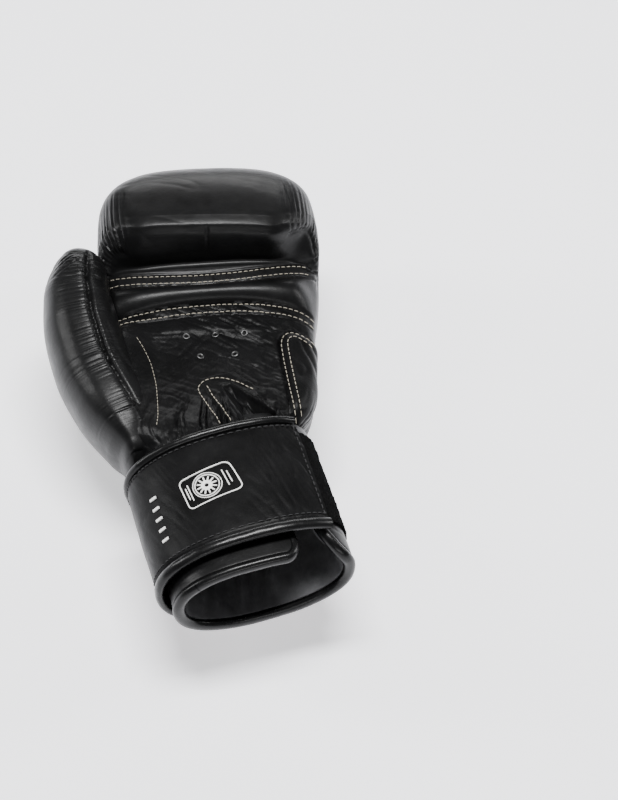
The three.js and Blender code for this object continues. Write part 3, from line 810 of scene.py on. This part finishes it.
def make_thumb():
    """The padded thumb: a tapering body with a gathered seam along its top."""
    keys = distances(THUMB_STATIONS[:, :3])
    tip = keys[-1]
    s = np.linspace(0, tip, THUMB_ROWS)
    x, y, z, outer, inner, tall = stations_at(s, np.column_stack([keys, THUMB_STATIONS]))
    centre = np.concatenate([x, y, z], 1)
    along = unit(np.gradient(centre, axis=0))
    across = unit(np.cross(along, [0, 0, 1]))
    rise = np.cross(across, along)
    a, b = squared_oval(around(THUMB_COLUMNS)[None], inner, outer, tall, tall, 2.2, 2.2)
    points = centre[:, None] + across[:, None] * a[..., None] + rise[:, None] * b[..., None]
    normals = grid_normals(points, THUMB_ROWS // 2, THUMB_COLUMNS // 4, rise[THUMB_ROWS // 2])

    # The sewn edge along the top: the outer shell stands above the inner panel, gathered into it.
    top = smoothstep(0, 0.3, b / tall)
    from_seam = a - (THUMB_SEAM + 6 * smoothstep(75, 5, s[:, None])) * np.minimum(1, inner / 17)
    where = s[:, None] + 0 * a
    sewn = top * span(where, 12, 30, tip - 15, tip - 3)
    relief = sewn * groove(from_seam, 2.6, 1.3)
    outside = smoothstep(-1, -4, from_seam)
    relief += sewn * 1.3 * outside * bell(from_seam + 4, 5)
    strip = np.stack([where, from_seam * 0.12, 0 * a], -1)
    gathers = creases(strip, 90, 60, 4.6, 91) + 0.9 * creases(strip, 90, 60, 2.4, 93)
    gathers += creases(strip, 90, 60, 1.6, 94)
    uneven = 0.7 + 0.5 * noise(strip, 16, 96)
    spread = np.where(from_seam < 0, 1, 0.3) * np.exp(-np.abs(from_seam) / (10 * uneven + 1))
    relief += sewn * 0.8 * gathers * spread * uneven
    palmward = smoothstep(2, 12, from_seam) * smoothstep(tip * 0.8, tip * 0.5, where)
    relief += 0.9 * palmward * creases(points, 60, 30, 6, 97)
    relief += 0.7 * noise(points, 30, 99)
    near_tip = smoothstep(tip - 34, tip - 12, where)
    relief += near_tip * sewn * 0.6 * creases(points, -30, 18, 4, 101)
    skin = points + normals * relief[..., None]
    vertices, faces = tube(skin)
    piece = make_object("thumb_leather", vertices, faces, LEATHER, "thumb")
    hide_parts("thumb_shell", "thumb_inner_panel", "thumb_foam", "thumb_lining")


# ---- The cuff and the strap ----
def cuff_outline(degrees, outside):
    """The cuff's squared oval, seen along its axis."""
    a = np.radians(degrees)
    c, s = np.cos(a), np.sin(a)
    x = np.sign(c) * np.abs(c) ** (2 / CUFF_POWER) * (CUFF_HALF_WIDTH + outside)
    z = np.sign(s) * np.abs(s) ** (2 / CUFF_POWER) * (CUFF_HALF_HEIGHT + outside)
    return x, z


def cuff_place(degrees, outside, y):
    """World points at angles round the cuff, distances outside it and places along its axis."""
    degrees, outside, y = np.broadcast_arrays(*(np.asarray(v, float) for v in (degrees, outside, y)))
    x, z = rotated(*cuff_outline(degrees, outside), CUFF_ROLL)
    x, y = rotated(x, y, YAW)
    return np.stack([x, y + WRIST[1], z + WRIST[2]], -1)


def cuff_normal(degrees):
    """Outward normals of the cuff's oval at angles round it."""
    degrees = np.asarray(degrees, float)
    return np.cross(CUFF_AXIS, unit(cuff_place(degrees + 0.2, 0, 0) - cuff_place(degrees - 0.2, 0, 0)))


def plate_profile(inner, outer, low, high, crown=0.0, count=64):
    """A flat strip's section: outer face, rounded edge, inner face, rounded edge."""
    round_off = min(0.8, (outer - inner) / 2 - 0.05)
    t = np.linspace(0, 1, count)
    y_out = low + round_off + (high - low - 2 * round_off) * t
    out = outer + crown * (1 - (2 * t - 1) ** 4)
    turns = np.radians([72, 45, 18])
    corner = [(round_off * (1 - math.sin(c)), round_off * (1 - math.cos(c))) for c in turns]
    section = list(zip(out, y_out))
    section += [(outer - a, high - b) for a, b in corner]
    section += [(inner + a, high - b) for a, b in corner[::-1]]
    section += [(inner, y) for y in np.linspace(high - round_off, low + round_off, 8)]
    section += [(inner + a, low + b) for a, b in corner]
    section += [(outer - a, low + b) for a, b in corner[::-1]]
    return np.array(section)


def roll_profile(outside, y, thick, tall):
    a = around(ROLL_SIDES)
    return np.stack([outside + thick * np.cos(a), y + tall * np.sin(a)], -1)


def sweep(angles, profile, relief=None, lower=None, dip=None):
    """A closed strip round the cuff. relief(points, outside, y) moves its outer face along the normals,
    dip(angles) moves it in, and lower(angles) says where its lower edge is."""
    angles = np.asarray(angles, float)[:, None]
    outside, y = profile[None, :, 0], profile[None, :, 1]
    if lower is not None:
        y = y.max() + (y - y.max()) * (lower(angles) - y.max()) / (y.min() - y.max())
    if dip is not None:
        outside = outside + dip(angles)
    points = cuff_place(angles, outside, y)
    if relief is not None:
        push = unit(cuff_place(angles, outside + 1, y) - points)
        points = points + push * relief(points, np.broadcast_to(outside, points.shape[:2]), y)[..., None]
    return tube(points)


def arc(start, end, step=1.0):
    """Angles from start to end, about a step apart, with both ends."""
    return np.linspace(start, end, max(2, int(round(abs(end - start) / step)) + 1))


def tongue_dip(angles):
    """How far outside its place the tongue lies: it sinks inwards towards its free end."""
    share = np.clip((WALL_FROM - angles) / (WALL_FROM - TONGUE_FROM), 0, 1)
    return -TONGUE_DIP * share * share * (3 - 2 * share)


def strap_relief(points, outside, y):
    outer = smoothstep(STRAP_INNER + 1.4, STRAP_OUTER - 0.2, outside)
    folds = creases(points, 54, 34, 5, 111) * 0.5 + creases(points, 66, 24, 2.6, 113) * 0.4
    worn = 0.3 + 0.7 * smoothstep(6, 30, points[..., 0])
    edge = groove(y - (STRAP_UPPER - 0.6), 0.9, 0.9) + groove(y - (STRAP_LOWER + 0.6), 0.9, 0.9)
    return outer * (worn * folds + 0.35 * noise(points, 18, 115) + edge)


def roll_relief(points, outside, y):
    return 0.14 * noise(points, (3, 3, 5), 121) + 0.2 * noise(points, 14, 123)


def strap_spot(spot):
    """A point and its normal on the strap's outer face, from an angle and a place along the cuff."""
    return cuff_place(spot[0], STRAP_FACE, spot[1]), cuff_normal(spot[0])


def sew_strap(name, line):
    return sew(name, [line], strap_spot, BLACK_THREAD, None, 4, 3, 0.3)


# name, the bodies before and after its hinge, its first and last angle, and where it bends
STRAP_LENGTHS = [
    ("strap_root", "cuff", "strap_palm", ROOT_ANGLE - 2, 148, ROOT_BEND),
    ("strap_turn", "strap_palm", "strap_side", 148, 180, (152, 168)),
    ("strap_end", "strap_side", "strap_back", 180, END_ANGLE + 1, (192, 208)),
]
# edge, which way is inwards along the cuff, the strap's edge there, and half the roll's height
STRAP_EDGES = [("upper", -1, STRAP_UPPER, 2.6), ("lower", 1, STRAP_LOWER, 3.5)]
STRAP_ROLL_OUT, STRAP_ROLL_THICK = 2.3, 2.5  # the roll's centre line outside the edge, and half its thickness
STITCH_GAP = 2.2  # between a roll and its row of stitches


def make_strap():
    """The strap in three lengths swept round the cuff, each with its two rolls and rows of stitches."""
    plate = plate_profile(STRAP_INNER + 0.2, STRAP_OUTER, STRAP_LOWER, STRAP_UPPER, 0.5)
    for name, first, link, low, high, turn in STRAP_LENGTHS:
        angles = arc(low, high)
        pieces = [make_object(f"{name}_leather", *sweep(angles, plate, strap_relief), STRAP_LEATHER)]
        for edge, inward, edge_y, tall in STRAP_EDGES:
            y = edge_y - STRAP_ROLL_OUT * inward
            roll = sweep(angles, roll_profile(STRAP_CORE, y, STRAP_ROLL_THICK, tall), roll_relief)
            pieces.append(make_object(f"{name}_{edge}_roll", *roll, GLOSSY, None, "binding_leather"))
            line = [(a, y + inward * (tall + STITCH_GAP)) for a in arc(low + 1, high - 1, 8)]
            pieces.append(sew_strap(f"{name}_{edge}_stitches", line))
        if name == "strap_root":
            line = [(ROOT_ANGLE + 1, STRAP_LOWER + 2), (ROOT_ANGLE + 1, STRAP_UPPER - 2)]
            pieces.append(sew_strap("strap_root_stitches", line))
        for piece in pieces:
            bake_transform(piece)
        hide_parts(f"{link}_leather", f"{link}_lining")
        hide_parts(f"{link}_upper_binding")
        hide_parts(f"{link}_lower_binding")
    make_strap_end()


def make_strap_end():
    """The bound end of the strap, a roll that runs between its two edges, and the hook patch inside it."""
    rows = np.linspace(STRAP_LOWER - 4, STRAP_UPPER + 4, 80)[:, None]
    share = np.abs(rows - rows.mean()) / (rows[-1] - rows.mean() + 0.2)
    girth = np.sqrt(np.clip(1 - share**14, 0.03, 1))
    a = around(ROLL_SIDES)
    angle = END_ANGLE + 2.2 + 2.0 * girth * np.cos(a)
    points = cuff_place(angle, 4.4 + 1.9 * girth * np.sin(a), rows)
    piece = make_object("strap_end_roll", *tube(points), GLOSSY, "strap_back", "binding_leather")
    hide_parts("strap_end_binding")
    patch = sweep(arc(PEEL_ANGLE + 10, END_ANGLE - 3), plate_profile(1.7, 2.7, -71, -14.5), pile_relief)
    hooks = make_object("hook_pile", *patch, PILE, "strap_back", "hook_and_loop")
    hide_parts("hook_patch")


def pile_relief(points, outside, y):
    return 0.35 * noise(points, 0.9, 131) + 0.3 * noise(points, 2.2, 133)


def corner_lift(into, rise):
    """Height of a quarter-round corner at shares from 0, where it starts, to 1, at its end."""
    into = np.clip(into, 0, 1)
    return rise * (1 - np.sqrt(1 - 0.995 * into * into))


def wall_lower(angles):
    """The wall's lower edge, rounded up at its end beside the little finger."""
    return CUFF_MOUTH + corner_lift((angles - WALL_TO + WALL_TURN) / WALL_TURN, WALL_RISE)


def tongue_lower(angles):
    """The tongue's lower edge, rounded up at its free end."""
    return CUFF_MOUTH + corner_lift((TONGUE_FROM + TONGUE_TURN - angles) / TONGUE_TURN, TONGUE_RISE)


def edge_roll(name, start, end, turn, rise, dip):
    """A roll along the mouth from one angle to another, round a corner there and up the free edge."""
    way = 1 if end > start else -1
    t = np.radians(np.linspace(0, 90, 16))
    mouth = arc(start, end - way * turn)[:-1]
    side = np.arange(RIM_Y + rise + 1.5, TONGUE_TOP, 1.5)
    degrees = np.concatenate([mouth, end - way * turn * (1 - np.sin(t)), np.full(len(side), float(end))])
    y = np.concatenate([np.full(len(mouth), RIM_Y), RIM_Y + rise * (1 - np.cos(t)), side])
    out = cuff_normal(degrees)
    middle = cuff_place(degrees, dip(degrees) + ROLL_MIDDLE, y)
    across = unit(np.cross(np.gradient(middle, axis=0), out))
    out, across = out[:, None], across[:, None]
    a = around(ROLL_SIDES)[:, None]
    rings = middle[:, None] + out * (ROLL_THICK * np.cos(a)) + across * (ROLL_TALL * np.sin(a))
    rings = rings + 0.22 * noise(rings, 9, 125)[..., None] * out
    return make_object(name, *tube(rings), GLOSSY, "cuff", "binding_leather")


def wall_relief(points, outside, y):
    outer = smoothstep(-1.4, -0.3, outside)
    return outer * (0.3 * creases(points, 15, 26, 5, 141) + 0.3 * noise(points, 16, 143))


def lining_relief(points, outside, y):
    """Soft folds along the cuff, on the lining's inner face."""
    inner = smoothstep(-4.5, -6, outside)
    turn = np.arctan2(points[..., 2] - WRIST[2], points[..., 0] - 9)
    across = np.stack([y + 0 * turn, turn * 46, 0 * turn], -1)
    folds = noise(across, (60, 9, 1), 151) + 0.5 * noise(across, (30, 4, 1), 153)
    return -inner * (1.6 + 2.1 * folds) * smoothstep(CUFF_MOUTH, CUFF_MOUTH + 14, y)


def in_steps(section, longest):
    """A section with points added so that no step along the cuff is much longer than the longest."""
    dense = [section[0]]
    for p in section[1:]:
        steps = max(1, int(abs(p[1] - dense[-1][1]) / longest))
        dense += [dense[-1] + (p - dense[-1]) * (k + 1) / steps for k in range(steps)]
    return np.array(dense)


def make_cuff():
    """The padded wall, its rolled mouth, its lining, the loop pile and the strap's root."""
    wall = arc(WALL_FROM, WALL_TO)
    skin = plate_profile(-2.4, -0.05, CUFF_MOUTH - 1, CUFF_TOP, 0, 80)
    piece = make_object("cuff_wall", *sweep(wall, skin, wall_relief, wall_lower), LEATHER, "cuff")
    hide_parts("cuff_leather", "cuff_foam")
    mouth = edge_roll("cuff_mouth_roll", WALL_FROM - 1, WALL_TO, WALL_TURN, WALL_RISE, np.zeros_like)
    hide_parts("cuff_mouth_binding")
    inside = in_steps(plate_profile(-6.3, -4.2, CUFF_MOUTH, CUFF_TOP - 2, 0, 10)[::-1], 1.6)
    cloth_skin = sweep(wall, inside, lining_relief, wall_lower)
    lining = make_object("cuff_lining_cloth", *cloth_skin, LINING, "cuff", "lining_cloth")
    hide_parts("cuff_lining")
    loops = sweep(arc(206, ROOT_ANGLE + 355.5, 0.6), plate_profile(0.1, 1.5, -74, -11.5, 0, 70), pile_relief)
    patch = make_object("loop_pile", *loops, PILE, "cuff", "hook_and_loop")
    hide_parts("loop_patch")
    tab = plate_profile(0.2, 3.1, STRAP_LOWER, STRAP_UPPER)
    tab_skin = sweep(arc(ROOT_ANGLE + 355.7, ROOT_ANGLE + 361, 0.6), tab)
    root = make_object("strap_root_tab", *tab_skin, STRAP_LEATHER, "cuff")
    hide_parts("strap_root")


def make_tongue():
    """The flap that goes on round from the wall, under the strap, with a rolled edge."""
    corner = arc(TONGUE_FROM, TONGUE_FROM + TONGUE_TURN, 0.4)
    angles = np.concatenate([corner[:-1], arc(TONGUE_FROM + TONGUE_TURN, TONGUE_TO)])
    skin = plate_profile(-4.6, -0.25, CUFF_MOUTH, TONGUE_TOP)
    flap = make_object("tongue_flap", *sweep(angles, skin, None, tongue_lower, tongue_dip), LEATHER, "cuff")
    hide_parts("tongue_leather", "tongue_lining")
    roll = edge_roll("tongue_roll", WALL_FROM + 1, TONGUE_FROM, TONGUE_TURN, TONGUE_RISE, tongue_dip)
    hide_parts("tongue_mouth_binding", "tongue_end_binding")


def make_sleeve():
    """The soft leather ring under the strap's upper edge that joins the mitt's neck to the cuff."""
    angles = np.degrees(around(200))[None]
    y = np.linspace(SLEEVE_MITT, SLEEVE_CUFF, 60)[:, None]
    share = smoothstep(SLEEVE_MITT, SLEEVE_CUFF, y)
    unrolled = np.stack(np.broadcast_arrays(y, angles, 0.0), -1)
    gathers = span(share, 0, 0.3, 0.6, 1) * creases(unrolled, 0, 40, 7, 171)
    outside = SLEEVE_INSIDE + SLEEVE_FLARE * share + 1.2 * gathers
    layers = [cuff_place(angles, outside - deep, y) for deep in (0, SLEEVE_THICK)]
    piece = make_object("wrist_sleeve", *closed_layers(*layers), LEATHER)
    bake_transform(piece)
    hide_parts("wrist_gusset")


def make_pocket():
    """The lining of the hand's pocket, seen through the cuff's mouth."""
    y = np.linspace(POCKET_START, POCKET_END, 150)
    phi = around(160)[None]
    layers = []
    for grow in (0.0, 1.0):
        points = pocket_form(y, phi, grow)
        round_pocket = np.broadcast_to(phi * 45, points.shape[:2])
        folds = noise(np.stack([points[..., 1], round_pocket, 0 * round_pocket], -1), (50, 9, 1), 161)
        points[..., 0] -= 1.2 * folds * np.cos(phi)
        points[..., 2] -= 1.2 * folds * np.sin(phi)
        layers.append(points)
    piece = make_object("pocket_lining", *closed_layers(*layers), LINING, "mitt", "lining_cloth")
    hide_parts("hand_lining")


# ---- Marks ----
def ribbon(spots, width, lift):
    """A thin raised strip along a surface, from pairs of a point and its normal."""
    points, normals = (np.array(rows) for rows in zip(*spots))
    side = unit(np.cross(unit(np.gradient(points, axis=0)), normals))
    section = [(-width / 2, -0.3), (-width / 2, lift), (width / 2, lift), (width / 2, -0.3)]
    return tube(np.stack([points + side * a + normals * b for a, b in section], 1))


STAMP_ANGLE, STAMP_Y, STAMP_TURN = 103.5, -41.5, math.radians(7)
STAMP_DEGREES = 0.98  # round the cuff for each millimetre
SIZE_BARS = range(-62, -32, 7)  # their places along the cuff


def stamp_spot(p):
    """A place on the strap, from millimetres round it and along it from the stamp's centre."""
    u, v = rotated(p[0], p[1], STAMP_TURN)
    degrees = STAMP_ANGLE - STAMP_DEGREES * u
    return cuff_place(degrees, STRAP_FACE, STAMP_Y + v), cuff_normal(degrees)


def stamp_line(line, width):
    return ribbon([stamp_spot(p) for p in curve_points(line, 0.8)], width, 0.55)


def circle(radius):
    t = np.linspace(0, 2 * math.pi, 48)
    return np.stack([radius * np.cos(t), radius * np.sin(t)], -1)


def rounded_rectangle(half_x, half_y, radius):
    points = []
    for sx, sy, start in [(1, 1, 0), (-1, 1, 90), (-1, -1, 180), (1, -1, 270)]:
        x, y = sx * (half_x - radius), sy * (half_y - radius)
        turn = np.radians(np.linspace(start, start + 90, 7))
        points += [(x + radius * math.cos(t), y + radius * math.sin(t)) for t in turn]
    return np.array(points + points[:1])


def make_stamp():
    """Plain marks in white print: a frame with a ringed sun and two pairs of bars, and a row of size bars."""
    parts = [stamp_line(rounded_rectangle(14.5, 10, 3), 0.65)]
    parts += [stamp_line(circle(radius), width) for radius, width in ((8, 0.45), (6.7, 0.6), (2.2, 2.0))]
    for a in around(12):
        parts.append(stamp_line([(r * math.cos(a), r * math.sin(a)) for r in (2.5, 5.6)], 0.8))
    for side in (-1, 1):
        for x, reach in ((10.2, 5.5), (12, 4)):
            parts.append(stamp_line([(side * x, -reach), (side * x, reach)], 0.6))
    for y in SIZE_BARS:
        bar = [(cuff_place(d, STRAP_OUTER + 0.6, y), cuff_normal(d)) for d in np.arange(137, 143.1, 0.6)]
        parts.append(ribbon(bar, 1.5, 0.5))
    piece = make_object("strap_stamp", *join_parts(parts), PRINT)
    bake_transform(piece)


def badge_layer(name, surface, size, lift, material):
    """One oval sheet of the badge, laid on the mitt's back, whose edge is turned into the leather."""
    rings = []
    for share, height in [(k / 14, lift) for k in range(1, 15)] + [(1.0, -0.3)]:
        half = size * share * np.array(BADGE_HALF)
        spots = [BADGE_CENTRE + half * (math.cos(a), math.sin(a)) for a in around(96)]
        seats = [on_surface(surface, spot, -1) for spot in spots]
        rings.append([point + height * normal for point, normal in seats])
    return make_object(name, *tube(np.array(rings)), material, "mitt", "badge_leather")


def make_badge(surface):
    """An oval badge on the back: a red ring, an off-white field and a plain dark oval in its middle."""
    red = badge_layer("badge_ring", surface, 0.98, 0.35, BADGE_RED)
    badge_layer("badge_field", surface, 0.82, 0.6, BADGE_FIELD)
    badge_layer("badge_middle", surface, 0.34, 0.85, BADGE_DARK)
    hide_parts("oval_badge")


LABEL_ANGLE, LABEL_Y = 268.0, -42.75
LABEL_HALF = (42.0, 31.0)
LABEL_DEGREES = 1.12  # round the cuff for each millimetre
LABEL_INNER, LABEL_OUTER = 6.1, 7.1


def label_spot(p):
    """A place on the label, from millimetres round the cuff and along it from the label's centre."""
    degrees = LABEL_ANGLE + LABEL_DEGREES * p[0]
    return cuff_place(degrees, LABEL_OUTER, LABEL_Y + p[1]), cuff_normal(degrees)


def label_lines(name, lines, width, material):
    ribbons = [ribbon([label_spot(p) for p in curve_points(line, 1.0)], width, 0.3) for line in lines]
    make_object(name, *join_parts(ribbons), material, "strap_back", "woven_label")


def make_label():
    """A woven label on the strap's back: a red border and plain blue bars on a cream field."""
    half_x, half_y = LABEL_HALF
    reach = half_x * LABEL_DEGREES
    sheet = plate_profile(LABEL_INNER, LABEL_OUTER, LABEL_Y - half_y, LABEL_Y + half_y)
    skin = sweep(arc(LABEL_ANGLE - reach, LABEL_ANGLE + reach), sheet)
    field = make_object("label_field", *skin, LABEL_CREAM, "strap_back", "woven_label")
    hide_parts("wrist_label")
    x, y, ends = half_x - 2.2, half_y - 2.2, half_x - 0.1
    sides = [[(-ends, -y), (ends, -y)], [(-ends, y), (ends, y)], [(-x, -y), (-x, y)], [(x, -y), (x, y)]]
    label_lines("label_border", sides, 4.2, LABEL_RED)
    bars = [[(-reach, y), (reach, y)] for reach, y in ((30, 9), (24, 0), (18, -9))]
    label_lines("label_bars", bars, 4.5, LABEL_BLUE)


# ---- Stage ----
FLOOR_SIZE, FLOOR_GLOW = 8, 0.55
SKY_COLOR, SKY_STRENGTH = (0.95, 0.97, 1, 1), 0.24
LIGHTS_AIM = Vector((0, 0, 0.06))

# name, place, width and height, power of each soft light
LIGHTS = [
    ("overhead", (0.0, -0.05, 1.5), (0.8, 0.3), 46),
    ("left_window", (-1.3, 0.3, 0.75), (0.3, 0.8), 12),
    ("right_window", (1.3, 0.2, 0.7), (0.3, 0.8), 10),
    ("back_window", (0.1, 1.35, 0.55), (1.3, 0.35), 11),
    ("front_fill", (0.1, -1.4, 0.55), (0.9, 0.3), 5),
]


def pale_floor():
    """A pale floor that glows a little, so that it stays near white under soft light."""
    material, tree, shader, place = node_material("pale_floor", 0.8, 0.2)
    set_inputs(tree, shader, {"Emission Color": (1, 1, 1, 1), "Emission Strength": FLOOR_GLOW})
    mottle(tree, shader, noise_texture(tree, place, 9, 3), (0.2, grey(0.9)), (0.8, grey(0.92)))
    return material


def make_stage():
    """The floor, the sky's faint light and the soft lights."""
    bpy.ops.mesh.primitive_plane_add(size=FLOOR_SIZE, location=(0, 0, 0))
    floor = bpy.context.object
    floor.name = "floor"
    floor.data.materials.append(pale_floor())
    world = bpy.data.worlds.new("studio")
    bpy.context.scene.world = world
    world.use_nodes = True
    background = world.node_tree.nodes["Background"]
    set_inputs(world.node_tree, background, {"Color": SKY_COLOR, "Strength": SKY_STRENGTH})
    for name, place, (wide, tall), power in LIGHTS:
        data = bpy.data.lights.new(name, "AREA")
        data.shape = "RECTANGLE"
        data.size, data.size_y, data.energy = wide, tall, power
        lamp = bpy.data.objects.new(name, data)
        lamp.location = place
        lamp.rotation_euler = (LIGHTS_AIM - Vector(place)).to_track_quat("-Z", "Y").to_euler()
        lamp.visible_camera = False
        bpy.context.scene.collection.objects.link(lamp)


CAMERA_AZIMUTH, CAMERA_ELEVATION = 5.0, 51.5
CAMERA_DISTANCE, CAMERA_LENS = 1.3, 99.5
CAMERA_TARGET = Vector((0, -0.03, 0.055))
TARGET_LEFT_OF_CENTRE, TARGET_ABOVE_CENTRE = 0.0443, 0.0054  # as tangents of the view's angles


def make_camera():
    """A camera that looks at the glove from above its cuff, with the glove left of the picture's middle."""
    a, e = math.radians(CAMERA_AZIMUTH), math.radians(CAMERA_ELEVATION)
    forward = Vector((math.sin(a) * math.cos(e), math.cos(a) * math.cos(e), -math.sin(e)))
    data = bpy.data.cameras.new("camera")
    data.lens = CAMERA_LENS
    camera = bpy.data.objects.new("camera", data)
    base = forward.to_track_quat("-Z", "Y")
    aside = Euler((-math.atan(TARGET_ABOVE_CENTRE), -math.atan(TARGET_LEFT_OF_CENTRE), 0)).to_quaternion()
    camera.rotation_mode = "QUATERNION"
    camera.rotation_quaternion = base @ aside
    camera.location = CAMERA_TARGET - forward * CAMERA_DISTANCE
    bpy.context.scene.collection.objects.link(camera)
    bpy.context.scene.camera = camera


make_camera()
make_stage()
mitt_surface = make_mitt()
sew_palm(mitt_surface)
make_eyelets(mitt_surface)
make_thumb()
make_pocket()
make_sleeve()
make_cuff()
make_tongue()
make_strap()
make_stamp()
make_badge(mitt_surface)
make_label()
